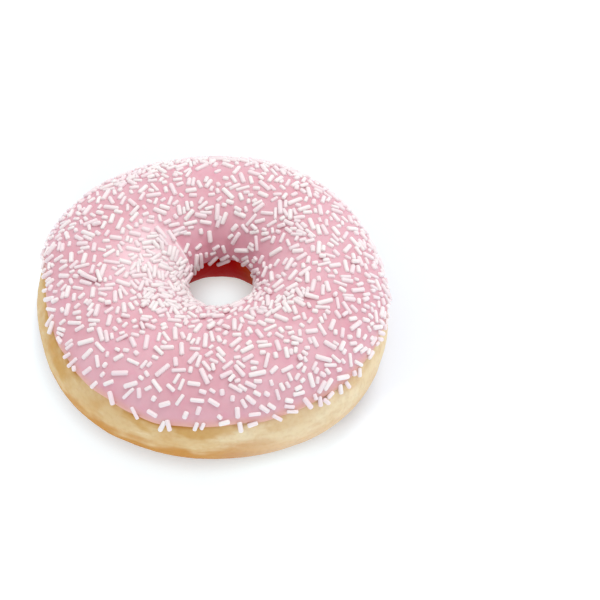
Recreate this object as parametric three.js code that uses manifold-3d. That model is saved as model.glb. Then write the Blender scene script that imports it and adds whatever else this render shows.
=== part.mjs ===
// A ring doughnut of risen, fried dough with pink icing over its upper half, and white sugar sprinkles
// set in the icing.
// Millimetres, +Z up. The origin is under the middle of the ring, on the surface that the doughnut lies on.
// Angles round the ring start at +X and run towards +Y. Angles round the ring's section start at the
// outer waist, and pass the crown at 90 degrees, the waist of the hole at 180 and the base at -90.

import * as THREE from "three";
import { mergeVertices } from "three/addons/utils/BufferGeometryUtils.js";
import Module from "manifold-3d";

const wasm = await Module();
wasm.setup();

const DEGREE = Math.PI / 180;

// ---- Driving dimensions of the dough ----
const OUTER_RADIUS = 45; // mean radius at the outer waist
const CROWN_RADIUS = 27; // radius of the circle that the crown and the base follow
const HOLE_RADIUS = 9.6; // at the waist of the hole
const HOLE_SHIFT = { x: 2.4, y: 2 }; // the hole sits a little off the middle
const CROWN_HEIGHT = 31.6; // mean height of the dough alone
const CROWN_TILT = { x: 2.1, y: 0.5 }; // how much higher the crown is towards +X and +Y
const OUTER_WAIST_HEIGHT = 15.8;
const HOLE_WAIST_HEIGHT = 19;
const BASE_SINK = 0.9; // how far the round base is pressed flat

// How square the section is in each quarter: 2 is an ellipse, and more is squarer.
const SQUARENESS = { outerTop: 1.92, outerBase: 1.97, holeTop: 2.06, holeBase: 1.65 };

// The outline's slight lobes: [lobes round the ring, share as a cosine, share as a sine].
const OUTLINE_LOBES = [
  [2, 0.0081, -0.0167],
  [3, -0.0012, -0.0023],
  [4, -0.0159, -0.0069],
  [5, 0.0018, -0.0034],
];

// Low swells of the skin: [height, waves round the ring, waves round the section, phase].
const SKIN_SWELLS = [
  [0.1, 5, 2, 0.4],
  [0.07, 8, 3, 2.1],
  [0.05, 13, 4, 4.4],
];

// ---- Driving dimensions of the icing ----
const ICING_THICKNESS = 1.1; // from the dough to the icing's face, at the crown
const ICING_GAP = 0.3; // clear of the dough, so that the two solids don't touch
const LIP_WIDTH = 7; // degrees of the section over which the icing thins out to its lip
const LIP_SHARE = 0.64; // the lip's thickness as a share of the crown's
const OUTER_LIP_HEIGHT = 22.2;
const HOLE_LIP_HEIGHT = 19.75;

// How the lips rise and fall: [height, waves round the ring, angle of a crest in degrees].
const OUTER_LIP_WAVES = [
  [1.1, 1, 221],
  [0.92, 2, 128],
  [0.81, 3, 83],
  [0.2, 7, 20],
  [0.14, 11, 9],
];
const HOLE_LIP_WAVES = [
  [0.35, 1, 75],
  [0.2, 3, 72],
  [0.12, 7, 70],
];

// Where the outer lip has run lower down the side: angle and spread round the ring, and depth.
const LIP_SAG = { ring: 158, spread: 13, depth: 3.6 };

// Low swells of the icing's face, as shares of its thickness, in the form of the skin's swells.
const ICING_SWELLS = [
  [0.09, 4, 3, 1.2],
  [0.06, 9, 2, 3.3],
];

// A pleat of icing down one shoulder of the hole: its height, the angle of its foot round the ring, and
// the section angles at which it begins, is whole, fades and ends.
const PLEAT = { rise: 0.9, ring: 132, begins: 116, whole: 128, fades: 160, ends: 172 };

// ---- Driving dimensions of the sprinkles ----
const SPRINKLE_DIAMETER = 1.3;
const SPRINKLE_LENGTHS = { shortest: 2.9, longest: 4.4 };
const SPRINKLE_SIDES = 5;
const SPRINKLE_SUNK = 0.38; // share of the diameter that is in the icing
const SPRINKLE_SPACING = 2; // least distance between the middle lines of two sprinkles
const SPRINKLE_COUNT = 200;
const SPRINKLE_TRIES = 20000;
const SPRINKLE_SEED = 20117;
const CLEAR_OF_OUTER_LIP = 4; // degrees
const CLEAR_OF_HOLE_LIP = 10; // degrees

const COVER = 0.86; // how thick the sprinkles lie in general

// Where they lie thinner or thicker: [angle round the ring, section angle, spread of each, change].
const PATCHES = [
  [250, 36, 72, 34, -0.93],
  [87, 152, 50, 27, -0.94],
  [90, 79, 13, 11, -0.95],
  [12, 136, 30, 30, -0.75],
  [240, 82, 22, 24, -0.55],
  [172, 80, 13, 10, -0.5],
  [190, 138, 50, 28, 1.4],
  [300, 118, 60, 28, 0.35],
  [345, 60, 30, 40, 0.25],
  [95, 56, 70, 14, 0.4],
  [30, 102, 16, 9, 1],
  [132, 146, 8, 20, -1],
];

// ---- Fineness of the faceted surfaces ----
const RING_STEPS = 60;
const DOUGH_STEPS = 22;
const ICING_FACE_STEPS = 14;
const ICING_BACK_STEPS = 11;

const COLOURS = { crust: 0xd9a860, icing: 0xe6a5bb };

// ---- The dough's form ----

// A sum of waves round the ring.
const waves = (list, ring) =>
  list.reduce((sum, [size, count, crest]) => sum + size * Math.cos(count * (ring - crest * DEGREE)), 0);

// A sum of swells that run both ways over the skin.
function swells(list, ring, section) {
  const swell = ([size, around, across, phase]) =>
    size * Math.sin(around * ring + phase) * Math.cos(across * section);
  return list.reduce((sum, entry) => sum + swell(entry), 0);
}

function outerRadius(ring) {
  const lobe = ([count, cosine, sine]) => cosine * Math.cos(count * ring) + sine * Math.sin(count * ring);
  return OUTER_RADIUS * (1 + OUTLINE_LOBES.reduce((sum, entry) => sum + lobe(entry), 0));
}

// The distance from the origin to the wall of the shifted round hole.
function holeRadius(ring) {
  const along = HOLE_SHIFT.x * Math.cos(ring) + HOLE_SHIFT.y * Math.sin(ring);
  const shift = HOLE_SHIFT.x ** 2 + HOLE_SHIFT.y ** 2;
  return along + Math.sqrt(along ** 2 - shift + HOLE_RADIUS ** 2);
}

function crownHeight(ring) {
  return CROWN_HEIGHT + CROWN_TILT.x * Math.cos(ring) + CROWN_TILT.y * Math.sin(ring);
}

function squareness(outward, upward) {
  if (outward) return upward ? SQUARENESS.outerTop : SQUARENESS.outerBase;
  return upward ? SQUARENESS.holeTop : SQUARENESS.holeBase;
}

// A point of the dough's skin before its swells, with the base not yet pressed flat.
function roundDough(ring, section) {
  const outward = Math.cos(section);
  const upward = Math.sin(section);
  const power = 2 / squareness(outward >= 0, upward >= 0);
  const across = Math.abs(outward) ** power;
  const rise = Math.abs(upward) ** power;
  const radius =
    outward >= 0
      ? CROWN_RADIUS + (outerRadius(ring) - CROWN_RADIUS) * across
      : CROWN_RADIUS - (CROWN_RADIUS - holeRadius(ring)) * across;
  const waist = outward >= 0 ? OUTER_WAIST_HEIGHT : HOLE_WAIST_HEIGHT;
  const end = upward >= 0 ? crownHeight(ring) : -BASE_SINK;
  const height = waist + (end - waist) * rise;
  return new THREE.Vector3(radius * Math.cos(ring), radius * Math.sin(ring), height);
}

// The outward direction of the dough's skin, from its slopes both ways.
function doughNormal(ring, section) {
  const step = 1e-3;
  const round = roundDough(ring + step, section).sub(roundDough(ring - step, section));
  const across = roundDough(ring, section + step).sub(roundDough(ring, section - step));
  return round.cross(across).normalize();
}

// A point that stands proud of the dough's skin by a height.
function onDough(ring, section, proud = 0) {
  const lift = proud + swells(SKIN_SWELLS, ring, section);
  const point = roundDough(ring, section).addScaledVector(doughNormal(ring, section), lift);
  point.z = Math.max(point.z, 0);
  return point;
}

// ---- The icing's form ----

// How far a place is turned round the ring from an angle, in degrees from -180 to 180.
const turnedFrom = (ring, degrees) => ((ring / DEGREE - degrees + 540) % 360) - 180;

const smoothstep = (low, high, value) => THREE.MathUtils.smoothstep(value, low, high);

// The section angle, short of the crown, at which the dough reaches a height above its waist.
function angleAtHeight(height, waist, crown, square) {
  const share = Math.max(height - waist, 0) / (crown - waist);
  return Math.asin(share ** (square / 2));
}

function outerLip(ring) {
  const sag = LIP_SAG.depth * Math.exp(-((turnedFrom(ring, LIP_SAG.ring) / LIP_SAG.spread) ** 2));
  const height = OUTER_LIP_HEIGHT + waves(OUTER_LIP_WAVES, ring) - sag;
  return angleAtHeight(height, OUTER_WAIST_HEIGHT, crownHeight(ring), SQUARENESS.outerTop);
}

function holeLip(ring) {
  const height = HOLE_LIP_HEIGHT + waves(HOLE_LIP_WAVES, ring);
  return Math.PI - angleAtHeight(height, HOLE_WAIST_HEIGHT, crownHeight(ring), SQUARENESS.holeTop);
}

// The pleat's height. It is steep on one side of its foot and slopes away on the other.
function pleat(ring, section) {
  const degrees = section / DEGREE;
  const foot = PLEAT.ring + 0.025 * Math.max(degrees - 148, 0) ** 2;
  const spot = roundDough(ring, section);
  const past = turnedFrom(ring, foot) * DEGREE * Math.hypot(spot.x, spot.y);
  const along =
    smoothstep(PLEAT.begins, PLEAT.whole, degrees) * (1 - smoothstep(PLEAT.fades, PLEAT.ends, degrees));
  return PLEAT.rise * along * smoothstep(-0.3, 0.4, past) * Math.exp(-((past / 5.5) ** 2));
}

// The height of the icing's face over the dough.
function icingHeight(ring, section) {
  const inFromLip = Math.min(section - outerLip(ring), holeLip(ring) - section) / (LIP_WIDTH * DEGREE);
  const share = Math.min(Math.max(inFromLip, 0), 1);
  const rounded = LIP_SHARE + (1 - LIP_SHARE) * Math.sqrt(1 - (1 - share) ** 2);
  return ICING_THICKNESS * rounded * (1 + swells(ICING_SWELLS, ring, section)) + pleat(ring, section);
}

const onIcing = (ring, section, proud = 0) => onDough(ring, section, icingHeight(ring, section) + proud);

// ---- From a perfect ring to the risen one ----

const RING_SECTION = 18; // section radius of the perfect ring

// A perfect ring whose section is a closed outline of [section angle, height over the section] points.
function perfectRing(outline) {
  const profile = outline.map(([section, proud]) => {
    const radius = RING_SECTION + proud;
    return new THREE.Vector2(CROWN_RADIUS + radius * Math.cos(section), radius * Math.sin(section));
  });
  profile.push(profile[0].clone());
  return new THREE.LatheGeometry(profile, RING_STEPS).rotateX(Math.PI / 2);
}

// Moves every point of a perfect ring to the place that a rule gives for its two angles and its height.
function reshape(geometry, rule) {
  const places = geometry.getAttribute("position");
  const point = new THREE.Vector3();
  for (let i = 0; i < places.count; i++) {
    point.fromBufferAttribute(places, i);
    const ring = Math.atan2(point.y, point.x);
    const outward = Math.hypot(point.x, point.y) - CROWN_RADIUS;
    const section = Math.atan2(point.z, outward);
    point.copy(rule(ring, section, Math.hypot(outward, point.z) - RING_SECTION));
    places.setXYZ(i, point.x, point.y, point.z);
  }
  return geometry;
}

// A solid from a closed geometry.
function solidOf(geometry) {
  const bare = geometry.clone();
  bare.deleteAttribute("normal");
  bare.deleteAttribute("uv");
  const merged = mergeVertices(bare, 1e-4);
  const vertProperties = new Float32Array(merged.getAttribute("position").array);
  const triVerts = new Uint32Array(merged.index.array);
  return new wasm.Manifold(new wasm.Mesh({ numProp: 3, vertProperties, triVerts }));
}

// A geometry from a solid.
function geometryOf(solid) {
  const mesh = solid.getMesh();
  const geometry = new THREE.BufferGeometry();
  geometry.setAttribute("position", new THREE.BufferAttribute(mesh.vertProperties, 3));
  geometry.setIndex(new THREE.BufferAttribute(mesh.triVerts, 1));
  geometry.computeVertexNormals();
  return geometry;
}

function doughRing() {
  const outline = Array.from({ length: DOUGH_STEPS }, (_, i) => [(i / DOUGH_STEPS) * 2 * Math.PI, 0]);
  return reshape(perfectRing(outline), (ring, section) => onDough(ring, section));
}

// The icing is a shell with a crescent section: a face, a back that clears the dough, and a lip at each end.
function icingShell() {
  const first = 20 * DEGREE; // the perfect ring's section angles of the two lips
  const last = 160 * DEGREE;
  const spread = (steps, turned, proud) =>
    Array.from({ length: steps + 1 }, (_, i) => {
      const share = turned ? 1 - i / steps : i / steps;
      return [first + share * (last - first), proud];
    });
  const outline = [...spread(ICING_FACE_STEPS, false, 1), ...spread(ICING_BACK_STEPS, true, 0)];
  return reshape(perfectRing(outline), (ring, section, proud) => {
    const share = (section - first) / (last - first);
    const place = outerLip(ring) + share * (holeLip(ring) - outerLip(ring));
    return proud > 0.5 ? onIcing(ring, place) : onDough(ring, place, ICING_GAP);
  });
}

// ---- Sprinkles ----

// A repeatable draw from 0 to 1.
function seededDraw(seed) {
  let state = seed;
  return () => {
    state = (state * 48271) % 2147483647;
    return state / 2147483647;
  };
}

// How thick the sprinkles lie at a place.
function sprinkleCover(ring, section) {
  return PATCHES.reduce((cover, [atRing, atSection, ringSpread, sectionSpread, change]) => {
    const away = turnedFrom(ring, atRing) / ringSpread;
    const across = (section / DEGREE - atSection) / sectionSpread;
    return cover * (1 + change * Math.exp(-(away ** 4) - across ** 4));
  }, COVER);
}

// The least distance between two straight lines of given ends, to within a small step.
function lineDistance(a, b) {
  const steps = 6;
  const point = new THREE.Vector3();
  const near = new THREE.Vector3();
  let least = Infinity;
  for (let i = 0; i <= steps; i++) {
    point.lerpVectors(a.start, a.end, i / steps);
    b.closestPointToPoint(point, true, near);
    least = Math.min(least, near.distanceTo(point));
  }
  return least;
}

// A sprinkle that lies on the icing, sunk into it by its share: its middle line and its upward direction.
function lyingSprinkle(ring, section, turn, length) {
  const step = 1e-3;
  const proud = SPRINKLE_DIAMETER * (0.5 - SPRINKLE_SUNK);
  const middle = onIcing(ring, section, proud);
  const round = onIcing(ring + step, section, proud).sub(middle).normalize();
  const up = doughNormal(ring, section);
  const across = up.clone().cross(round).normalize();
  const along = round.multiplyScalar(Math.cos(turn)).addScaledVector(across, Math.sin(turn));
  const half = along.multiplyScalar(length / 2);
  return { line: new THREE.Line3(middle.clone().sub(half), middle.clone().add(half)), up };
}

// Places are tried at random over the icing, and more of them are kept where the sprinkles lie thick.
function scatterSprinkles() {
  const { shortest, longest } = SPRINKLE_LENGTHS;
  const draw = seededDraw(SPRINKLE_SEED);
  const placed = [];
  for (let tries = 0; tries < SPRINKLE_TRIES && placed.length < SPRINKLE_COUNT; tries++) {
    const ring = draw() * 2 * Math.PI;
    const first = outerLip(ring) + CLEAR_OF_OUTER_LIP * DEGREE;
    const section = first + draw() * (holeLip(ring) - CLEAR_OF_HOLE_LIP * DEGREE - first);
    const keep = draw();
    const turn = draw() * Math.PI;
    const length = longest - draw() * (longest - shortest);
    const spot = roundDough(ring, section);
    if (keep > (sprinkleCover(ring, section) * Math.hypot(spot.x, spot.y)) / OUTER_RADIUS) continue;
    const sprinkle = lyingSprinkle(ring, section, turn, length);
    const clear = placed.every((other) => lineDistance(sprinkle.line, other.line) > SPRINKLE_SPACING);
    if (clear) placed.push(sprinkle);
  }
  return placed;
}

function sprinkleRod({ line, up }) {
  const corners = Array.from({ length: SPRINKLE_SIDES }, (_, i) => {
    const angle = ((i + 0.25) / SPRINKLE_SIDES) * 2 * Math.PI;
    return new THREE.Vector2(Math.cos(angle), Math.sin(angle)).multiplyScalar(SPRINKLE_DIAMETER / 2);
  });
  const settings = { depth: line.distance(), bevelEnabled: false };
  const rod = new THREE.ExtrudeGeometry(new THREE.Shape(corners), settings);
  const along = line.delta(new THREE.Vector3()).normalize();
  const side = up.clone().cross(along).normalize();
  const place = new THREE.Matrix4().makeBasis(side, along.clone().cross(side), along).setPosition(line.start);
  return rod.applyMatrix4(place);
}

// ---- The two pieces ----

const rods = scatterSprinkles().map((sprinkle) => solidOf(sprinkleRod(sprinkle)));
const icingWithSprinkles = wasm.Manifold.union([solidOf(icingShell()), ...rods]);

function piece(name, geometry, color, roughness) {
  const material = new THREE.MeshStandardMaterial({ color, roughness, metalness: 0 });
  const mesh = new THREE.Mesh(geometry, material);
  mesh.name = name;
  return mesh;
}

const doughnut = new THREE.Group();
doughnut.add(piece("dough_ring", doughRing(), COLOURS.crust, 0.7));
doughnut.add(piece("icing_with_sprinkles", geometryOf(icingWithSprinkles), COLOURS.icing, 0.45));

export default doughnut;
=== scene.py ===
import math

import bmesh
import bpy
import numpy as np
from mathutils import Matrix, Vector, noise
from mathutils.kdtree import KDTree


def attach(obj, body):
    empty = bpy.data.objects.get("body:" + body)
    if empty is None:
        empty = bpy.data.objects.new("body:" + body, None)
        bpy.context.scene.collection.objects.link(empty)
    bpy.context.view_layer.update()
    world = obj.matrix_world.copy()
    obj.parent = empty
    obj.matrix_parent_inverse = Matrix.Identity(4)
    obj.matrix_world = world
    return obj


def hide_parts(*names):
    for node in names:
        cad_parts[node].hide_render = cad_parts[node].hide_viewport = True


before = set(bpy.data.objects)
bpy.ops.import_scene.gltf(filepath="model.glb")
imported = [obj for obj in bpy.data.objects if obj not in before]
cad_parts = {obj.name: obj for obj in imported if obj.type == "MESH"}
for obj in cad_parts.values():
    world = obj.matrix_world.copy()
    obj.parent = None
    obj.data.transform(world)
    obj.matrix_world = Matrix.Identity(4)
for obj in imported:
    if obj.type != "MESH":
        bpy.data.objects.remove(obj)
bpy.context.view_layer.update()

# A ring doughnut with pink icing and white sugar sprinkles. The shapes are worked out in millimetres and
# made in metres. Angles round the ring start at +X. Angles round its section start at the outer waist,
# pass the crown at 90 degrees, the waist of the hole at 180 and the base at -90.

MM = 0.001
DEGREE = math.pi / 180
# A small turn in radians, to find which way a surface runs.
SMALL_STEP = 1e-3

# ---- The dough ----
OUTER_RADIUS = 45.0
CROWN_RADIUS = 27.0
HOLE_RADIUS = 9.6
# How far the hole lies off the middle, to the right and to the back.
HOLE_SHIFT = (2.4, 2.0)
CROWN_HEIGHT = 31.6
CROWN_TILT = (2.1, 0.5)
OUTER_WAIST_HEIGHT = 15.8
HOLE_WAIST_HEIGHT = 19.0
BASE_SINK = 0.9
# The power of each quarter of the section: 2 is an ellipse, and more is squarer.
SQUARENESS = {"outer_top": 1.92, "outer_base": 1.97, "hole_top": 2.06, "hole_base": 1.65}
# The outline's lobes: [how many round the ring, cosine share, sine share].
OUTLINE_LOBES = [(2, 0.0081, -0.0167), (3, -0.0012, -0.0023), (4, -0.0159, -0.0069), (5, 0.0018, -0.0034)]
# Swells: [height, how many round the ring, how many round the section, phase].
SKIN_SWELLS = [(0.1, 5, 2, 0.4), (0.07, 8, 3, 2.1), (0.05, 13, 4, 4.4)]

# ---- The icing ----
ICING_THICKNESS = 1.1
# The icing thins to a share of its thickness over the last degrees before its lips.
LIP_WIDTH = 7.0
LIP_SHARE = 0.64
OUTER_LIP_HEIGHT = 22.2
HOLE_LIP_HEIGHT = 19.75
# Waves and ripples of the lips: [height, how many round the ring, the angle of a crest].
OUTER_LIP_WAVES = [(1.1, 1, 221), (0.92, 2, 128), (0.81, 3, 83), (0.2, 7, 20), (0.14, 11, 9)]
HOLE_LIP_WAVES = [(0.35, 1, 75), (0.2, 3, 72), (0.12, 7, 70)]
LIP_RIPPLES = [(0.1, 17, 4), (0.08, 23, 11), (0.06, 31, 2)]
LIP_SAG = {"ring": 158, "spread": 13, "depth": 3.6}
# The power of the curve that rounds the lips, and how deep the icing is keyed into the dough.
LIP_ROUNDING = 30
ICING_KEYED_IN = 0.35
ICING_SWELLS = [(0.09, 4, 3, 1.2), (0.06, 9, 2, 3.3)]
# The pleat: its height, the angle of its foot round the ring, the section angles where it begins, is whole,
# fades and ends, the one from which its foot turns aside, and how fast, the millimetres over which its face
# rises, and how far its back reaches.
PLEAT_RISE = 0.9
PLEAT_RING = 132
PLEAT_SECTIONS = (116, 128, 160, 172)
PLEAT_TURNS_FROM = 148
PLEAT_TURN = 0.025
PLEAT_FACE = (-0.3, 0.4)
PLEAT_BACK = 5.5
# The icing wells up against the sprinkles.
WELL_HEIGHT = 0.14
WELL_REACH = 0.8

# ---- The sprinkles ----
SPRINKLE_DIAMETER = 1.3
SPRINKLE_SUNK = 0.38
MOST_SPRINKLES = 4000

# The larger ones, which the solids have too.
LARGE_LENGTHS = (2.9, 4.4)
LARGE_SPACING = 2.0
LARGE_COUNT = 200
LARGE_SEED = 20117
LARGE_TRIES = 20000
CLEAR_OF_OUTER_LIP = 4.0
CLEAR_OF_HOLE_LIP = 10.0

# The smaller ones. Their widths are shares of the diameter.
SMALL_LENGTHS = (1.4, 3.8)
SMALL_WIDTHS = (0.72, 1.0)
SMALL_SEED = 4801
SMALL_TRIES = 45000
SMALL_CLEAR_OF_OUTER_LIP = 1.0
SMALL_CLEAR_OF_HOLE_LIP = 5.0
CLUMP_SIZE = 5.0
CLUMPING = 0.75
UNEVENNESS = 0.4
# The cover is counted in a disc of this radius. Only ones whose middles are within reach can touch.
COUNTED_AROUND = 3.6
REACH = 4.6
# The section's radius near the icing's edges, which turns an angle into a length.
EDGE_CURVE = 16.0
# The least distance between the middle lines of two, in their mean widths, and how many points are tried
# along a line.
TOUCHING = 0.78
LINE_POINTS = 7
# How high the two ends may be lifted to lie on others, in widths.
FLAT = [(0, 0)]
LEANING = [*FLAT, (0, 0.5), (0.5, 0), (0.5, 0.5)]
LEANING_SHARE = 0.1
LEANING_SECTIONS = (60, 130)
# Where the cover is more than this many times the usual one, they are packed and pressed together.
PACKED_FROM = 1.35
PACKED_CLUMPING = 0.2
PACKED = [*FLAT, (0, 0.25), (0.25, 0), (0.2, 0.2)]
PRESSED = 0.44
# The power of the draw that gives a length: the higher it is, the more of them are short.
SHORTNESS = {"loose": 1.2, "packed": 0.8}
# A strip along the pleat's edge stays bare: how far past the foot its middle lies, how its sides fade, and
# the section angles over which it comes in.
BARE_STRIP = 0.1
BARE_FADE = (1.3, 0.6)
BARE_SECTIONS = (127, 135)

# How much of the icing the sprinkles cover, and where they lie thinner or thicker: [angle round the ring,
# section angle, how far it reaches round the ring, how far across, the change in cover].
COVER = 0.86
PATCHES = [
    (250, 36, 72, 34, -0.93),
    (87, 152, 50, 27, -0.94),
    (90, 79, 13, 11, -0.95),
    (12, 136, 30, 30, -0.75),
    (240, 82, 22, 24, -0.55),
    (172, 80, 13, 10, -0.5),
    (190, 138, 50, 28, 1.4),
    (300, 118, 60, 28, 0.35),
    (345, 60, 30, 40, 0.25),
    (95, 56, 70, 14, 0.4),
    (30, 102, 16, 9, 1.0),
    (132, 146, 8, 20, -1.0),
]
# The same for the smaller ones alone.
SMALL_COVER = 1.32
SMALL_PATCHES = [
    (88, 151, 43, 28, -0.9),
    (12, 138, 24, 22, -0.45),
    (150, 130, 14, 12, -0.3),
    (245, 78, 24, 22, -0.35),
    (236, 121, 16, 12, -0.45),
    (90, 79, 14, 11, -0.9),
    (300, 96, 18, 16, 0.5),
    (350, 93, 12, 11, 0.5),
    (30, 104, 11, 9, 0.35),
    (150, 90, 16, 13, 0.4),
    (208, 106, 13, 12, 0.35),
    (62, 104, 62, 16, 0.4),
    (118, 117, 18, 12, 0.3),
    (312, 88, 32, 16, 0.4),
    (250, 84, 13, 9, -0.45),
    (222, 76, 22, 20, -0.2),
    (0, 121, 17, 9, -0.4),
    (205, 134, 26, 15, 0.3),
    (32, 157, 14, 14, 1.2),
]


# ---- The forms ----

def ring_waves(waves, ring):
    return sum(size * np.cos(count * (ring - crest * DEGREE)) for size, count, crest in waves)


def swells(waves, ring, section):
    return sum(
        size * np.sin(around * ring + phase) * np.cos(across * section)
        for size, around, across, phase in waves
    )


def outer_radius(ring):
    lobes = sum(c * np.cos(n * ring) + s * np.sin(n * ring) for n, c, s in OUTLINE_LOBES)
    return OUTER_RADIUS * (1 + lobes)


def hole_radius(ring):
    along = HOLE_SHIFT[0] * np.cos(ring) + HOLE_SHIFT[1] * np.sin(ring)
    shift = HOLE_SHIFT[0] ** 2 + HOLE_SHIFT[1] ** 2
    return along + np.sqrt(along**2 - shift + HOLE_RADIUS**2)


def crown_height(ring):
    return CROWN_HEIGHT + CROWN_TILT[0] * np.cos(ring) + CROWN_TILT[1] * np.sin(ring)


def round_dough(ring, section):
    """A point of the dough's skin before its swells, with the base not yet pressed flat."""
    outward, upward = np.cos(section), np.sin(section)
    square = np.where(
        outward >= 0,
        np.where(upward >= 0, SQUARENESS["outer_top"], SQUARENESS["outer_base"]),
        np.where(upward >= 0, SQUARENESS["hole_top"], SQUARENESS["hole_base"]),
    )
    across, rise = np.abs(outward) ** (2 / square), np.abs(upward) ** (2 / square)
    reach = np.where(outward >= 0, outer_radius(ring) - CROWN_RADIUS, hole_radius(ring) - CROWN_RADIUS)
    radius = CROWN_RADIUS + reach * across
    waist = np.where(outward >= 0, OUTER_WAIST_HEIGHT, HOLE_WAIST_HEIGHT)
    height = waist + (np.where(upward >= 0, crown_height(ring), -BASE_SINK) - waist) * rise
    return np.stack([radius * np.cos(ring), radius * np.sin(ring), height], -1)


def unit(vectors):
    return vectors / np.linalg.norm(vectors, axis=-1, keepdims=True)


def dough_normal(ring, section):
    round_ = round_dough(ring + SMALL_STEP, section) - round_dough(ring - SMALL_STEP, section)
    across = round_dough(ring, section + SMALL_STEP) - round_dough(ring, section - SMALL_STEP)
    return unit(np.cross(round_, across))


def on_dough(ring, section, proud=0.0):
    """A point of the finished dough, or one that stands proud of it."""
    lift = proud + swells(SKIN_SWELLS, ring, section)
    point = round_dough(ring, section) + dough_normal(ring, section) * np.asarray(lift)[..., None]
    point[..., 2] = np.maximum(point[..., 2], 0)
    return point


def angle_at_height(height, waist, crown, square):
    """The section angle, measured from the waist, at which the skin reaches a height."""
    return np.arcsin((np.maximum(height - waist, 0) / (crown - waist)) ** (square / 2))


def turned_from(ring, degrees):
    """How far a place is turned round the ring from an angle, in degrees from -180 to 180."""
    return (ring / DEGREE - degrees + 180) % 360 - 180


def outer_lip_height(ring, ripples=()):
    sag = LIP_SAG["depth"] * np.exp(-((turned_from(ring, LIP_SAG["ring"]) / LIP_SAG["spread"]) ** 2))
    return OUTER_LIP_HEIGHT + ring_waves([*OUTER_LIP_WAVES, *ripples], ring) - sag


def outer_lip(ring, ripples=()):
    height = outer_lip_height(ring, ripples)
    return angle_at_height(height, OUTER_WAIST_HEIGHT, crown_height(ring), SQUARENESS["outer_top"])


def hole_lip(ring, ripples=()):
    height = HOLE_LIP_HEIGHT + ring_waves([*HOLE_LIP_WAVES, *ripples], ring)
    return math.pi - angle_at_height(height, HOLE_WAIST_HEIGHT, crown_height(ring), SQUARENESS["hole_top"])


def smoothstep(low, high, value):
    t = np.clip((value - low) / (high - low), 0, 1)
    return t * t * (3 - 2 * t)


def past_pleat(ring, section):
    """How far a place lies to the left of the pleat's foot, in millimetres round the ring."""
    foot = PLEAT_RING + PLEAT_TURN * np.clip(section / DEGREE - PLEAT_TURNS_FROM, 0, None) ** 2
    spot = round_dough(ring, section)
    return turned_from(ring, foot) * DEGREE * np.hypot(spot[..., 0], spot[..., 1])


def along_pleat(section):
    """How much of the pleat stands at a section angle, from 0 to 1."""
    begins, whole, fades, ends = PLEAT_SECTIONS
    return smoothstep(begins, whole, section / DEGREE) * smoothstep(ends, fades, section / DEGREE)


def pleat(ring, section):
    """A pleat of icing down the left shoulder of the hole, steep on its far side."""
    past = past_pleat(ring, section)
    back = np.exp(-((past / PLEAT_BACK) ** 2))
    return PLEAT_RISE * along_pleat(section) * smoothstep(*PLEAT_FACE, past) * back


def icing_height(ring, section):
    """How far the icing's skin stands off the dough."""
    in_from_lip = np.minimum(section - outer_lip(ring), hole_lip(ring) - section) / (LIP_WIDTH * DEGREE)
    share = np.clip(in_from_lip, 0, 1)
    rounded = LIP_SHARE + (1 - LIP_SHARE) * np.sqrt(1 - (1 - share) ** 2)
    return ICING_THICKNESS * rounded * (1 + swells(ICING_SWELLS, ring, section)) + pleat(ring, section)


def on_icing(ring, section, proud=0.0):
    return on_dough(ring, section, icing_height(ring, section) + proud)


# How far apart in the noise two seeds read it.
SEEDS_APART = (7.3, 3.1, 5.7)


def rough(points, size, octaves, seed):
    """Repeatable fractal noise at the points, whose features are about a size across, from about -1 to 1."""
    shift = Vector([seed * apart for apart in SEEDS_APART])
    return np.array([noise.fractal(Vector(p) / size + shift, 0.9, 2.0, octaves) for p in points])


# ---- Meshes ----

RING_SECTION = 18.0
# How many steps each mesh has round the ring and round the section.
DOUGH_STEPS = (360, 150)
ICING_STEPS = (440, 220)


def perfect_ring(name, around, across):
    """A perfect ring to be shaped: a circle spun about the vertical."""
    bm = bmesh.new()
    place = Matrix.Translation((CROWN_RADIUS, 0, 0)) @ Matrix.Rotation(math.pi / 2, 4, "X")
    bmesh.ops.create_circle(bm, segments=across, radius=RING_SECTION, matrix=place)
    bmesh.ops.spin(
        bm, geom=bm.verts[:] + bm.edges[:], cent=(0, 0, 0), axis=(0, 0, 1), dvec=(0, 0, 0),
        angle=2 * math.pi, steps=around, use_merge=True,
    )
    bmesh.ops.recalc_face_normals(bm, faces=bm.faces)
    mesh = bpy.data.meshes.new(name)
    bm.to_mesh(mesh)
    bm.free()
    return mesh


def points_of(mesh):
    flat = np.empty(len(mesh.vertices) * 3, np.float32)
    mesh.vertices.foreach_get("co", flat)
    return flat.reshape(-1, 3).astype(float)


def move_points(mesh, points):
    mesh.vertices.foreach_set("co", points.astype(np.float32).ravel())
    mesh.update()


def ring_angles(mesh):
    """The angles round the ring and round the section of a perfect ring's points."""
    points = points_of(mesh)
    ring = np.arctan2(points[:, 1], points[:, 0])
    section = np.arctan2(points[:, 2], np.hypot(points[:, 0], points[:, 1]) - CROWN_RADIUS)
    return ring, section


def give(mesh, name, values):
    """A number for each point of a mesh, for its material to read."""
    layer = mesh.attributes.new(name, "FLOAT", "POINT")
    layer.data.foreach_set("value", np.asarray(values, np.float32))


def add_piece(name, mesh, material, node):
    mesh.polygons.foreach_set("use_smooth", [True] * len(mesh.polygons))
    mesh.materials.append(material)
    piece = bpy.data.objects.new(name, mesh)
    bpy.context.scene.collection.objects.link(piece)
    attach(piece, "root")
    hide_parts(node)


# ---- Materials ----

def srgb(red, green, blue):
    """A colour of the shader from its 0 to 255 values on the screen."""
    values = (v / 255 for v in (red, green, blue))
    return (*(v / 12.92 if v <= 0.04045 else ((v + 0.055) / 1.055) ** 2.4 for v in values), 1)


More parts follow.
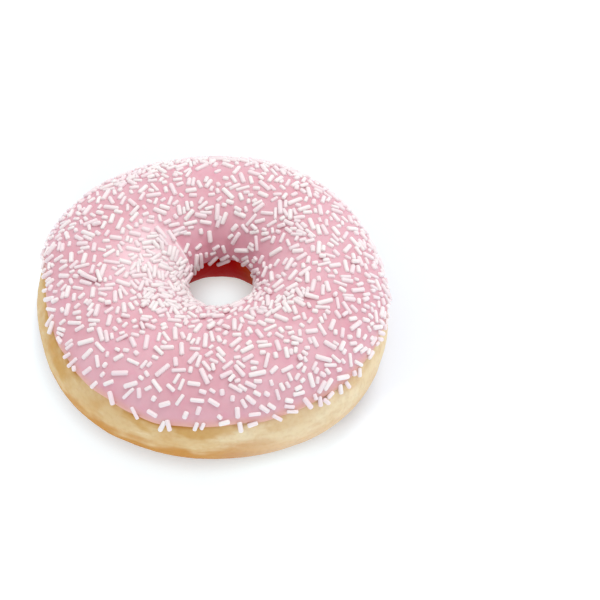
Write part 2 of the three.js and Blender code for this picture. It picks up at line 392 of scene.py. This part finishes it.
class Finish:
    """A material with its node tree, and short ways to add to it."""

    def __init__(self, name, **sockets):
        self.material = bpy.data.materials.new(name)
        self.material.use_nodes = True
        self.tree = self.material.node_tree
        self.shader = self.tree.nodes["Principled BSDF"]
        for socket, value in sockets.items():
            self.shader.inputs[socket.replace("_", " ")].default_value = value
        self.place = self.node("ShaderNodeTexCoord").outputs["Object"]

    def node(self, kind, inputs=None, **settings):
        made = self.tree.nodes.new(kind)
        for key, value in settings.items():
            setattr(made, key, value)
        for key, value in (inputs or {}).items():
            if isinstance(value, bpy.types.NodeSocket):
                self.tree.links.new(value, made.inputs[key])
            else:
                made.inputs[key].default_value = value
        return made

    def link(self, value, socket):
        self.tree.links.new(value, self.shader.inputs[socket])

    def given(self, name):
        """A number that the mesh gives for each of its points."""
        return self.node("ShaderNodeAttribute", attribute_name=name).outputs["Fac"]

    def stretched(self, scale):
        return self.node("ShaderNodeMapping", {"Vector": self.place, "Scale": scale}).outputs["Vector"]

    def noise(self, scale, detail=3.0, roughness=0.55, vector=None):
        inputs = {"Vector": vector or self.place, "Scale": scale, "Detail": detail, "Roughness": roughness}
        return self.node("ShaderNodeTexNoise", inputs).outputs["Fac"]

    def math(self, operation, first, second):
        return self.node("ShaderNodeMath", {0: first, 1: second}, operation=operation).outputs[0]

    def times(self, first, second):
        return self.math("MULTIPLY", first, second)

    def span(self, value, low, high, to_low=0.0, to_high=1.0):
        """A smooth step of a value, from one number at its low end to another at its high end."""
        inputs = {"Value": value, "From Min": low, "From Max": high, "To Min": to_low, "To Max": to_high}
        return self.node("ShaderNodeMapRange", inputs, interpolation_type="SMOOTHSTEP").outputs["Result"]

    def mix(self, share, first, second):
        made = self.node("ShaderNodeMix", data_type="RGBA")
        for socket, value in ((made.inputs[0], share), (made.inputs[6], first), (made.inputs[7], second)):
            if isinstance(value, bpy.types.NodeSocket):
                self.tree.links.new(value, socket)
            else:
                socket.default_value = value
        return made.outputs[2]

    def bump(self, height, strength, distance, normal=None):
        inputs = {"Height": height, "Strength": strength, "Distance": distance}
        if normal:
            inputs["Normal"] = normal
        return self.node("ShaderNodeBump", inputs).outputs["Normal"]


def dough_finish():
    dough = Finish("fried_dough", Roughness=0.6, Subsurface_Weight=0.15, Subsurface_Scale=0.002)
    dough.shader.inputs["Subsurface Radius"].default_value = (1.0, 0.6, 0.3)
    dough.shader.inputs["Specular IOR Level"].default_value = 0.03
    edge, gold, cream = srgb(184, 126, 62), srgb(208, 166, 104), srgb(220, 190, 142)
    fried, brown, speckled = srgb(196, 138, 70), srgb(180, 112, 42), srgb(186, 128, 62)
    gilt, sheen_white, lit_pale = srgb(204, 150, 80), srgb(240, 224, 190), srgb(244, 228, 198)
    deep_shade, deep_shade_right = srgb(193, 2, 2), srgb(196, 84, 10)
    below_lip, hole, right_side = (dough.given(name) for name in ("below_lip", "hole", "right_side"))
    # The bands of colour run by the distance down from the icing, made uneven by streaks and blotches.
    streaks = dough.noise(150, 4, 0.6, dough.stretched((0.35, 0.35, 1.6)))
    blotches = dough.noise(62, 3, 0.55)
    down = dough.math("ADD", below_lip, dough.span(streaks, 0.3, 0.7, -1.3, 1.3))
    down = dough.math("ADD", down, dough.span(blotches, 0.3, 0.7, -2.6, 2.6))
    colour = dough.mix(dough.span(below_lip, -0.2, 1.0), edge, gold)
    colour = dough.mix(dough.span(down, 0.8, 3.2), colour, cream)
    colour = dough.mix(dough.span(dough.noise(105, 3, 0.55), 0.5, 0.72, 0.0, 0.5), colour, gilt)
    # Painted sheen: whitish streaks over the dough.
    sheen_streaks = dough.noise(120, 4, 0.6, dough.stretched((0.6, 0.6, 1.3)))
    colour = dough.mix(dough.span(sheen_streaks, 0.5, 0.7, 0.0, 0.6), colour, sheen_white)
    colour = dough.mix(dough.span(down, 4.8, 10.2), colour, fried)
    colour = dough.mix(dough.span(down, 11.0, 15.5), colour, brown)
    # Painted light: the dough is paler on the front right.
    colour = dough.mix(dough.times(dough.given("lit_pale"), 0.5), colour, lit_pale)
    colour = dough.mix(dough.span(dough.noise(800, 2, 0.5), 0.4, 0.8, 0.0, 0.18), colour, speckled)
    # Painted shade and thrown-back pink light in the hole: deep red, more golden on the right.
    colour = dough.mix(hole, colour, dough.mix(right_side, deep_shade, deep_shade_right))
    dough.link(colour, "Base Color")
    pores = dough.bump(dough.noise(1500, 3, 0.6), 0.3, 0.0002)
    dough.link(dough.bump(dough.noise(420, 4, 0.6), 0.25, 0.0005, pores), "Normal")
    return dough.material


def icing_finish():
    icing = Finish("pink_icing", Subsurface_Weight=0.25, Subsurface_Scale=0.002)
    icing.shader.inputs["Subsurface Radius"].default_value = (1.0, 0.6, 0.65)
    icing.shader.inputs["Specular IOR Level"].default_value = 0.36
    pink, light_pink, blush = srgb(219, 165, 176), srgb(224, 176, 187), srgb(222, 148, 170)
    lit_pale, deep_shade = srgb(246, 214, 221), srgb(212, 138, 156)
    thin, ridge_highlight = srgb(222, 166, 146), srgb(255, 240, 243)
    colour = icing.mix(icing.span(icing.noise(70, 3, 0.5), 0.3, 0.7), pink, light_pink)
    colour = icing.mix(icing.span(icing.noise(230, 2, 0.5), 0.5, 0.75, 0.0, 0.35), colour, blush)
    # Painted highlight on the shoulder behind the pleat.
    colour = icing.mix(icing.times(icing.given("lit_pale"), 0.85), colour, lit_pale)
    # Painted shade down the hole and before the pleat.
    colour = icing.mix(icing.times(icing.given("hole"), 0.65), colour, deep_shade)
    colour = icing.mix(icing.times(icing.given("edge"), 0.9), colour, thin)
    # Painted highlight along the pleat's edge.
    colour = icing.mix(icing.given("fold_highlight"), colour, ridge_highlight)
    icing.link(colour, "Base Color")
    icing.link(icing.span(icing.noise(300, 3, 0.5), 0.3, 0.7, 0.44, 0.56), "Roughness")
    icing.link(icing.bump(icing.noise(520, 2, 0.5), 0.12, 0.0003), "Normal")
    return icing.material


def sprinkle_finish():
    sugar = Finish("white_sugar", Roughness=0.5, Subsurface_Weight=0.3, Subsurface_Scale=0.0006)
    sugar.shader.inputs["Subsurface Radius"].default_value = (1.0, 0.85, 0.85)
    white, rosy, wet_and_bounce = srgb(243, 236, 235), srgb(239, 221, 225), srgb(238, 190, 202)
    colour = sugar.mix(sugar.given("tone"), white, rosy)
    # Pink from wet icing and painted light thrown back from the icing, low on each rod.
    colour = sugar.mix(sugar.times(sugar.given("wet_and_bounce"), 0.55), colour, wet_and_bounce)
    sugar.link(colour, "Base Color")
    sugar.link(sugar.bump(sugar.noise(2600, 2, 0.5), 0.25, 0.0001), "Normal")
    return sugar.material


# ---- Dough ----

# The skin's relief: [height, size across, octaves, seed].
DOUGH_RELIEF = [(0.16, 9.0, 3, 1), (0.05, 1.6, 3, 2)]
# The share of the relief that is lost under the icing, and how far in from its lips, in radians.
SMOOTHED_UNDER_ICING = 0.7
IN_FROM_LIP = (0.0, 0.06)
# Painted shade: the wall of the hole is painted deep red, for warm shade and pink light thrown back from
# the icing. It starts lower down and is more golden on the right: the section angles over which it starts and
# ends, how much lower it starts, and the angles from the right.
SHADE_STARTS = (150, 166)
SHADE_ENDS = (262, 215)
LOWER_ON_RIGHT = 18
RIGHT_SIDE = (66, 30)
# Painted light: the dough is painted paler round this angle of the ring, as if more lit there.
PALE_RING = 322
PALE_SIDES = (62, 22)


def make_dough():
    mesh = perfect_ring("dough", *DOUGH_STEPS)
    ring, section = ring_angles(mesh)
    skin = on_dough(ring, section)
    relief = sum(height * rough(skin, size, octaves, seed) for height, size, octaves, seed in DOUGH_RELIEF)
    iced = smoothstep(*IN_FROM_LIP, section - outer_lip(ring))
    iced = iced * smoothstep(*IN_FROM_LIP, hole_lip(ring) - section)
    points = on_dough(ring, section, relief * (1 - SMOOTHED_UNDER_ICING * iced))
    move_points(mesh, points * MM)
    give(mesh, "below_lip", outer_lip_height(ring) - points[:, 2])
    right_side = smoothstep(*(angle * DEGREE for angle in RIGHT_SIDE), np.abs(ring))
    give(mesh, "right_side", right_side)
    turned = np.where(section < -math.pi / 2, section + 2 * math.pi, section) / DEGREE
    # Painted shade down the wall of the hole.
    shade = smoothstep(*SHADE_STARTS, turned - LOWER_ON_RIGHT * right_side)
    give(mesh, "hole", shade * smoothstep(*SHADE_ENDS, turned))
    give(mesh, "lit_pale", smoothstep(*PALE_SIDES, np.abs(turned_from(ring, PALE_RING))))
    add_piece("dough", mesh, dough_finish(), "dough_ring")


# ---- Icing ----

# The dough shows through the thin outer edge, over this many degrees.
THIN_EDGE = 10
# Painted shade: the icing is painted deeper pink down the hole, over these section angles, but little of it
# past the pleat.
HOLE_SHADE_SECTIONS = (120, 162)
LESS_SHADE = 0.8
LESS_SHADE_PAST = (0, 0.6)
# Painted shade: the pleat's shadow is painted on the icing before its foot. A highlight is painted along its
# edge, and a patch behind it is painted paler, for a soft highlight: [angle round the ring, section angle,
# how far it reaches round the ring, how far across].
PLEAT_SHADE = 0.9
PLEAT_SHADE_STARTS = (-7.0, -0.6)
PLEAT_SHADE_ENDS = (0.3, -0.3)
PLEAT_EDGE = 0.25
PLEAT_EDGE_WIDTH = 0.6
PALE_PATCH = (162, 130, 33, 34)
PALE_PAST = (0.3, 1.2)


def welling(points, laid):
    """How far the icing wells up at its points against the sprinkles."""
    steps = np.linspace(0, 1, LINE_POINTS)[:, None, None]
    axes = (laid.starts[: laid.count] * (1 - steps) + laid.ends[: laid.count] * steps).reshape(-1, 3)
    tree = KDTree(len(axes))
    for index, spot in enumerate(axes):
        tree.insert(spot, index)
    tree.balance()
    away = np.array([tree.find(point)[2] for point in points])
    return WELL_HEIGHT * np.exp(-((away / WELL_REACH) ** 2))


def make_icing(laid):
    mesh = perfect_ring("icing", *ICING_STEPS)
    ring, turn = ring_angles(mesh)
    share = (1 - np.cos(turn)) / 2
    first, last = outer_lip(ring, LIP_RIPPLES), hole_lip(ring, LIP_RIPPLES)
    section = first + share * (last - first)
    rounding = np.sqrt(1 - np.abs(np.cos(turn)) ** LIP_ROUNDING)
    height = icing_height(ring, section)
    height += welling(on_dough(ring, section, height), laid)
    proud = np.where(turn >= 0, height, -ICING_KEYED_IN) * rounding
    move_points(mesh, on_dough(ring, section, proud) * MM)
    give(mesh, "edge", smoothstep(THIN_EDGE * DEGREE, 0, section - first))
    past, along = past_pleat(ring, section), along_pleat(section)
    # Painted shadow of the pleat before its foot.
    shade = PLEAT_SHADE * along * smoothstep(*PLEAT_SHADE_STARTS, past) * smoothstep(*PLEAT_SHADE_ENDS, past)
    # Painted shade down the hole.
    hole = smoothstep(*HOLE_SHADE_SECTIONS, section / DEGREE) * (1 - LESS_SHADE * smoothstep(*LESS_SHADE_PAST, past))
    give(mesh, "hole", np.maximum(hole, shade))
    # Painted highlight along the pleat's edge.
    give(mesh, "fold_highlight", along * np.exp(-(((past - PLEAT_EDGE) / PLEAT_EDGE_WIDTH) ** 2)))
    # Painted highlight on the shoulder behind the pleat.
    at_ring, at_section, ring_spread, section_spread = PALE_PATCH
    away, across = turned_from(ring, at_ring) / ring_spread, (section / DEGREE - at_section) / section_spread
    give(mesh, "lit_pale", np.exp(-(across**4) - away**4) * smoothstep(*PALE_PAST, past))
    add_piece("icing", mesh, icing_finish(), "icing_with_sprinkles")


# ---- Sprinkles ----

# Each draw is the last one times the factor, less whole moduli.
DRAW_FACTOR = 48271
DRAW_MODULUS = 2147483647


def seeded_draws(seed, rows, each):
    """Repeatable draws from 0 to 1, as one line of numbers for each thing drawn."""
    state, numbers = seed, []
    for _ in range(rows * each):
        state = state * DRAW_FACTOR % DRAW_MODULUS
        numbers.append(state / DRAW_MODULUS)
    return np.array(numbers).reshape(rows, each).T


def sprinkle_cover(ring, section, patches=PATCHES):
    """How much of the icing the sprinkles cover at a place."""
    cover = np.full(np.shape(ring), COVER)
    for at_ring, at_section, ring_spread, section_spread, change in patches:
        away = turned_from(ring, at_ring) / ring_spread
        across = (section / DEGREE - at_section) / section_spread
        cover = cover * (1 + change * np.exp(-(away**4) - across**4))
    return cover


def lie(ring, section, turn, length, proud):
    """Where sprinkles lie on the icing: their two ends and their upward directions."""
    middle = on_icing(ring, section, proud)
    round_ = unit(on_icing(ring + SMALL_STEP, section, proud) - middle)
    up = dough_normal(ring, section)
    across = unit(np.cross(up, round_))
    along = round_ * np.cos(turn)[:, None] + across * np.sin(turn)[:, None]
    half = along * (length / 2)[:, None]
    return middle - half, middle + half, up


def stepped_distance(start, end, starts, ends):
    """The least distance from the points of one line to each of several lines."""
    points = start + (end - start) * (np.arange(LINE_POINTS) / (LINE_POINTS - 1))[:, None]
    along = ends - starts
    reach = ((points[:, None] - starts) * along).sum(-1) / (along**2).sum(-1)
    near = starts + along * np.clip(reach, 0, 1)[..., None]
    return np.linalg.norm(points[:, None] - near, axis=-1).min(0)


class Sprinkled:
    """The sprinkles laid so far: their ends, upward directions and widths."""

    def __init__(self, most):
        self.starts, self.ends, self.ups = (np.zeros((most, 3)) for _ in range(3))
        self.widths = np.zeros(most)
        self.count = 0

    def add(self, start, end, up, width):
        row = self.count
        self.starts[row], self.ends[row], self.ups[row], self.widths[row] = start, end, up, width
        self.count += 1

    def away(self, start, end):
        """How far the middle of each is from the middle of a new one."""
        middles = (self.starts[: self.count] + self.ends[: self.count]) / 2
        return np.linalg.norm(middles - (start + end) / 2, axis=1)

    def covered(self, away):
        """The share that sprinkles cover of a disc round a new one."""
        close = np.flatnonzero(away < COUNTED_AROUND)
        lengths = np.linalg.norm(self.ends[close] - self.starts[close], axis=1)
        return (lengths * self.widths[close]).sum() / (math.pi * COUNTED_AROUND**2)

    def clear(self, start, end, close, gaps):
        """Whether a new one keeps its gaps to the ones that are close."""
        if not len(close):
            return True
        return bool((stepped_distance(start, end, self.starts[close], self.ends[close]) > gaps).all())


def by_circumference(ring, section):
    """A place's distance from the axis, as a share of the outer radius."""
    spot = round_dough(ring, section)
    return np.hypot(spot[:, 0], spot[:, 1]) / OUTER_RADIUS


def lay_large(laid):
    round_, across, keep, turn, shorter = seeded_draws(LARGE_SEED, LARGE_TRIES, 5)
    ring = round_ * 2 * math.pi
    first = outer_lip(ring) + CLEAR_OF_OUTER_LIP * DEGREE
    section = first + across * (hole_lip(ring) - CLEAR_OF_HOLE_LIP * DEGREE - first)
    length = LARGE_LENGTHS[1] - shorter * (LARGE_LENGTHS[1] - LARGE_LENGTHS[0])
    kept = keep <= sprinkle_cover(ring, section) * by_circumference(ring, section)
    proud = SPRINKLE_DIAMETER * (0.5 - SPRINKLE_SUNK)
    places = lie(ring[kept], section[kept], turn[kept] * math.pi, length[kept], proud)
    for start, end, up in zip(*places):
        if laid.count == LARGE_COUNT:
            return
        if laid.clear(start, end, np.arange(laid.count), LARGE_SPACING):
            laid.add(start, end, up, SPRINKLE_DIAMETER)


def lay_small(laid):
    """Places are tried at random, and take a sprinkle where there is room until they are covered enough."""
    round_, across, turn, longer, wider, looser = seeded_draws(SMALL_SEED, SMALL_TRIES, 6)
    ring = round_ * 2 * math.pi
    first = outer_lip(ring) + SMALL_CLEAR_OF_OUTER_LIP * DEGREE
    section = first + across * (hole_lip(ring) - SMALL_CLEAR_OF_HOLE_LIP * DEGREE - first)
    packed = sprinkle_cover(ring, section) > COVER * PACKED_FROM
    cover = sprinkle_cover(ring, section, [*PATCHES, *SMALL_PATCHES]) * SMALL_COVER
    beside_pleat = smoothstep(*BARE_FADE, np.abs(past_pleat(ring, section) - BARE_STRIP))
    cover *= 1 - smoothstep(*BARE_SECTIONS, section / DEGREE) * beside_pleat
    shortness = np.where(packed, SHORTNESS["packed"], SHORTNESS["loose"])
    length = SMALL_LENGTHS[0] + longer**shortness * (SMALL_LENGTHS[1] - SMALL_LENGTHS[0])
    width = SPRINKLE_DIAMETER * (SMALL_WIDTHS[0] + wider * (SMALL_WIDTHS[1] - SMALL_WIDTHS[0]))
    # The counted disc reaches past the icing's edge, where nothing lies.
    to_edge = np.minimum(section - outer_lip(ring), hole_lip(ring) - section) * EDGE_CURVE
    cover *= np.clip(0.5 + 0.5 * to_edge / COUNTED_AROUND, 0.5, 1)
    clumps = rough(round_dough(ring, section), CLUMP_SIZE, 2, 3)
    clumping = np.where(packed, PACKED_CLUMPING, CLUMPING)
    full = cover * (1 + clumping * clumps) * (1 - UNEVENNESS / 2 + UNEVENNESS * looser)
    least, most = (angle * DEGREE for angle in LEANING_SECTIONS)
    leaning = (looser < LEANING_SHARE) & (section > least) & (section < most)
    starts, ends, ups = lie(ring, section, turn * math.pi, length, width * (0.5 - SPRINKLE_SUNK))
    for row in range(SMALL_TRIES):
        start, end, up = starts[row], ends[row], ups[row]
        away = laid.away(start, end)
        if laid.covered(away) > full[row]:
            continue
        close = np.flatnonzero(away < REACH)
        gaps = (laid.widths[close] + width[row]) / 2 * (PRESSED if packed[row] else TOUCHING)
        lifts = PACKED if packed[row] else LEANING if leaning[row] else FLAT
        for rise, fall in lifts:
            raised = start + up * rise * width[row], end + up * fall * width[row]
            if laid.clear(*raised, close, gaps):
                laid.add(*raised, up, width[row])
                break


# Sprinkles laid one by one: [angle round the ring, section angle, turn, length, width, lift].
ONE_BY_ONE = [
    # over the icing's outer edge
    (254, 25, 70, 3.2, 1.2, 0),
    (256, 27, 110, 3.0, 1.2, 0),
    (279, 27, 95, 2.9, 1.2, 0),
    (283, 28, 10, 2.6, 1.2, 0),
    (306, 29, 80, 2.8, 1.2, 0),
    (308, 26, 120, 2.4, 1.1, 0),
    (310, 29, 20, 2.2, 1.1, 0),
    (314, 28, 75, 2.6, 1.2, 0),
    (317, 27, 100, 2.4, 1.1, 0),
    (323, 27, 60, 2.4, 1.1, 0),
    # over the far lip of the hole
    (109, 167, 81, 4.6, 1.1, 0),
    (100, 163, 81, 1.5, 1.0, 0),
    (90, 164, 13, 1.7, 1.0, 0),
    (90, 174, 41, 3.4, 1.1, 0),
    (74, 170, 41, 3.0, 1.1, 0),
    (76, 178, 38, 4.2, 1.1, 0),
    (59, 168, 147, 2.2, 1.0, 0),
    (44, 168, 59, 3.6, 1.1, 0),
    (124, 173, 75, 3.0, 1.0, 0),
    (117, 172, 95, 2.6, 1.0, 0),
    (134, 166, 30, 2.6, 1.0, 0),
    # on the far shoulder of the hole
    (110, 127, 169, 3.7, 1.1, 0),
    (123, 127, 168, 3.7, 1.2, 0),
    (124, 121, 158, 3.0, 1.1, 0),
    (128, 129, 172, 2.8, 1.1, 0),
    (121, 131, 160, 2.6, 1.0, 0),
    (96, 131, 157, 3.1, 1.1, 0),
    (95, 122, 168, 3.1, 1.1, 0),
    (102, 138, 80, 1.6, 1.2, 0),
    (117, 134, 149, 2.1, 1.0, 0),
    (111, 131, 166, 1.6, 0.9, 0),
    (84, 132, 71, 3.2, 1.2, 0),
    (79, 129, 72, 3.4, 1.2, 0),
    (64, 117, 127, 1.7, 1.0, 0),
    (56, 125, 72, 4.0, 1.0, 0),
    (58, 135, 150, 2.8, 1.1, 0),
    (68, 137, 56, 2.3, 1.35, 0),
    (70, 146, 45, 1.7, 1.0, 0),
    (64, 147, 67, 3.9, 1.2, 0),
    (48, 134, 37, 2.6, 1.1, 0),
    (50, 130, 169, 2.2, 1.1, 0.4),
    (40, 142, 133, 4.0, 1.0, 0),
    (38, 129, 43, 2.1, 1.1, 0),
    (34, 132, 59, 3.1, 1.0, 0),
    (49, 122, 44, 2.9, 1.1, 0),
    (109, 151, 15, 2.1, 1.1, 0),
    (86, 158, 28, 2.2, 1.1, 0),
    (76, 160, 106, 2.3, 1.0, 0),
    (124, 152, 79, 1.4, 1.0, 0),
    # two that cross on the left, and those round them
    (186, 78, 51, 4.8, 1.2, 0.7),
    (186, 86, 10, 3.8, 1.1, 0.5),
    (188, 75, 56, 3.4, 1.2, 0),
    (185, 63, 13, 2.0, 1.1, 0),
    (178, 72, 96, 4.0, 1.0, 0),
    (176, 95, 84, 4.2, 1.0, 0),
    (170, 92, 139, 3.6, 1.1, 0),
]


def lay_one_by_one(laid):
    ring, section, turn, length, width, lift = np.array(ONE_BY_ONE, float).T
    proud = width * (0.5 - SPRINKLE_SUNK) + lift
    places = lie(ring * DEGREE, section * DEGREE, turn * DEGREE, length, proud)
    for start, end, up, wide in zip(*places, width):
        laid.add(start, end, up, wide)


# A rod's sides, the rounding of its ends, and how far rods bend aside, as the spread of the draws. The icing
# wets a rod, and pink light thrown back from the icing is painted on it, from the first of these heights down
# to the second, in widths from its middle.
ROD_SIDES = 8
ROD_ROUNDING = 0.28
ROD_BEND = 0.012
WET_AND_BOUNCE_SPAN = (0.1, -0.45)


def rod_mesh():
    """One sprinkle a millimetre long and wide, along Y, with rounded ends."""
    bm = bmesh.new()
    bmesh.ops.create_cone(
        bm, cap_ends=True, cap_tris=False, segments=ROD_SIDES, radius1=0.5, radius2=0.5, depth=1.0,
        matrix=Matrix.Rotation(math.pi / 2, 4, "X"),
    )
    rims = [e for e in bm.edges if len({round(v.co.y, 3) for v in e.verts}) == 1]
    bmesh.ops.bevel(
        bm, geom=rims, offset=ROD_ROUNDING, offset_type="OFFSET", affect="EDGES", segments=2, profile=0.5,
        material=-1,
    )
    mesh = bpy.data.meshes.new("rod")
    bm.to_mesh(mesh)
    bm.free()
    return mesh


def repeated(mesh, count):
    """A mesh repeated a number of times, all in one mesh."""
    maker = bpy.data.objects.new("maker", mesh)
    bpy.context.scene.collection.objects.link(maker)
    array = maker.modifiers.new("rows", "ARRAY")
    array.count = count
    array.use_relative_offset = False
    array.use_constant_offset = True
    array.constant_offset_displace = (0, 0, 2)
    bpy.context.view_layer.update()
    made = bpy.data.meshes.new_from_object(maker.evaluated_get(bpy.context.evaluated_depsgraph_get()))
    bpy.data.objects.remove(maker)
    return made


def lay_sprinkles():
    laid = Sprinkled(MOST_SPRINKLES)
    lay_large(laid)
    lay_one_by_one(laid)
    lay_small(laid)
    return laid


def make_sprinkles(laid):
    count = laid.count
    starts, ends, ups = laid.starts[:count], laid.ends[:count], laid.ups[:count]
    widths = laid.widths[:count, None, None]
    rod = rod_mesh()
    shape = points_of(rod)
    mesh = repeated(rod, count)
    mesh.name = "sprinkles"
    rng = np.random.default_rng(SMALL_SEED)
    length = np.linalg.norm(ends - starts, axis=1)[:, None, None]
    # Each rod's own directions: to its side, along it, and up from the icing.
    along = unit(ends - starts)
    side = unit(np.cross(along, ups))
    over = np.cross(side, along)
    # The rod is drawn out between its rounded ends, which keep their shape.
    local = np.broadcast_to(shape, (count, *shape.shape)).copy()
    toward = np.sign(local[..., 1:2])
    local[..., 1:2] = (local[..., 1:2] - toward * 0.5) * widths + toward * length / 2
    local[..., 0:1] *= widths
    local[..., 2:3] *= widths
    bend = rng.normal(0, ROD_BEND, (count, 1, 1))
    local[..., 0:1] += bend * (local[..., 1:2] ** 2)
    middle = ((starts + ends) / 2)[:, None]
    points = middle + sum(local[..., i : i + 1] * way[:, None] for i, way in enumerate((side, along, over)))
    move_points(mesh, points.reshape(-1, 3) * MM)
    give(mesh, "tone", np.repeat(rng.random(count), len(shape)))
    give(mesh, "wet_and_bounce", smoothstep(*WET_AND_BOUNCE_SPAN, local[..., 2] / widths[..., 0]).ravel())
    add_piece("sprinkles", mesh, sprinkle_finish(), "icing_with_sprinkles")


# ---- Stage ----

CAMERA_ELEVATION = 52.54
CAMERA_DISTANCE = 420.0
CAMERA_AIM_HEIGHT = 16.5
SENSOR_WIDTH = 36
# How much the camera takes in at the distance that it aims at.
FRAME_WIDTH = 154.4
TURNED_ASIDE = 3.08
TURNED_DOWN = -0.08

FLOOR_COLOUR = (0.71, 0.76, 0.83, 1)
# Painted light: the floor glows, most in the hole, none just round the ring and more further out, so that
# it is white beside soft shadows. These are in metres, as the floor is: how far it reaches, the spots that
# the glow is measured from, and the distances over which each part of the glow comes or goes.
FLOOR_REACH = 3
HOLE_SPOT = (0.0027, 0.0135, 0)
RING_SPOT = (-0.0007, 0.0064, 0)
BACK_SPOT = (0.0178, 0.035, 0)
HOLE_SPAN = (0.001, 0.0125)
UNDER_SPAN = (0.021, 0.032)
NEAR_SPAN = (0.043, 0.0486)
FAR_SPAN = (0.0563, 0.0765)
TINT_SPAN = (0.03, 0.046)
HOLE_GLOW, UNDER_GLOW, NEAR_GLOW, FAR_GLOW = 0.88, 0.36, 0.19, 0.43
HOLE_TINT, NEAR_TINT, FAR_TINT = (0.785, 0.95, 0.96, 1), (0.97, 0.97, 1.0, 1), (0.82, 0.96, 1.0, 1)

SURROUNDINGS = 0.82
LIGHT_PLACE = (0.26, 0.32, 1.0)
LIGHT_SIZE = 0.5
LIGHT_POWER = 4.4


def make_camera():
    data = bpy.data.cameras.new("camera")
    data.sensor_width = SENSOR_WIDTH
    data.lens = SENSOR_WIDTH * CAMERA_DISTANCE / FRAME_WIDTH
    data.clip_start, data.clip_end = 0.01, 20
    camera = bpy.data.objects.new("camera", data)
    bpy.context.scene.collection.objects.link(camera)
    tilt = Matrix.Rotation((90 - CAMERA_ELEVATION) * DEGREE, 4, "X")
    aside = Matrix.Rotation(-TURNED_ASIDE * DEGREE, 4, "Y") @ Matrix.Rotation(-TURNED_DOWN * DEGREE, 4, "X")
    back = tilt.to_3x3() @ Vector((0, 0, CAMERA_DISTANCE * MM))
    camera.matrix_world = Matrix.Translation(Vector((0, 0, CAMERA_AIM_HEIGHT * MM)) + back) @ tilt @ aside
    bpy.context.scene.camera = camera


def add_light(name, place, size, power):
    data = bpy.data.lights.new(name, "AREA")
    data.shape = "DISK"
    data.size = size
    data.energy = power
    light = bpy.data.objects.new(name, data)
    light.location = place
    light.rotation_mode = "QUATERNION"
    light.rotation_quaternion = (-Vector(place)).to_track_quat("-Z", "Y")
    bpy.context.scene.collection.objects.link(light)


def make_floor():
    bm = bmesh.new()
    bmesh.ops.create_grid(bm, x_segments=1, y_segments=1, size=FLOOR_REACH)
    mesh = bpy.data.meshes.new("floor")
    bm.to_mesh(mesh)
    bm.free()
    finish = Finish("white_floor", Roughness=0.9)
    finish.shader.inputs["Base Color"].default_value = FLOOR_COLOUR
    finish.shader.inputs["Specular IOR Level"].default_value = 0.1
    in_hole, from_ring, from_back = (
        finish.node("ShaderNodeVectorMath", {0: finish.place, 1: spot}, operation="DISTANCE").outputs["Value"]
        for spot in (HOLE_SPOT, RING_SPOT, BACK_SPOT)
    )
    glow = finish.span(in_hole, *HOLE_SPAN, HOLE_GLOW, UNDER_GLOW)
    glow = finish.math("SUBTRACT", glow, finish.span(from_ring, *UNDER_SPAN, 0.0, UNDER_GLOW))
    glow = finish.math("ADD", glow, finish.span(from_ring, *NEAR_SPAN, 0.0, NEAR_GLOW))
    glow = finish.math("ADD", glow, finish.span(from_back, *FAR_SPAN, 0.0, FAR_GLOW))
    finish.link(glow, "Emission Strength")
    tint = finish.mix(finish.span(from_ring, *TINT_SPAN), HOLE_TINT, NEAR_TINT)
    tint = finish.mix(finish.span(from_back, *FAR_SPAN), tint, FAR_TINT)
    finish.link(tint, "Emission Color")
    mesh.materials.append(finish.material)
    floor = bpy.data.objects.new("floor", mesh)
    bpy.context.scene.collection.objects.link(floor)


def make_surroundings():
    """White surroundings that light the scene a little less than white."""
    world = bpy.data.worlds.new("studio")
    world.use_nodes = True
    nodes, links = world.node_tree.nodes, world.node_tree.links
    nodes["Background"].inputs["Color"].default_value = (1, 1, 1, 1)
    strength = nodes.new("ShaderNodeMapRange")
    strength.inputs["To Min"].default_value = SURROUNDINGS
    links.new(nodes.new("ShaderNodeLightPath").outputs["Is Camera Ray"], strength.inputs["Value"])
    links.new(strength.outputs["Result"], nodes["Background"].inputs["Strength"])
    bpy.context.scene.world = world


sprinkled = lay_sprinkles()
make_dough()
make_icing(sprinkled)
make_sprinkles(sprinkled)
make_floor()
make_surroundings()
add_light("overhead", LIGHT_PLACE, LIGHT_SIZE, LIGHT_POWER)
make_camera()
bpy.context.scene.view_settings.view_transform = "Standard"
bpy.context.scene.view_settings.look = "None"
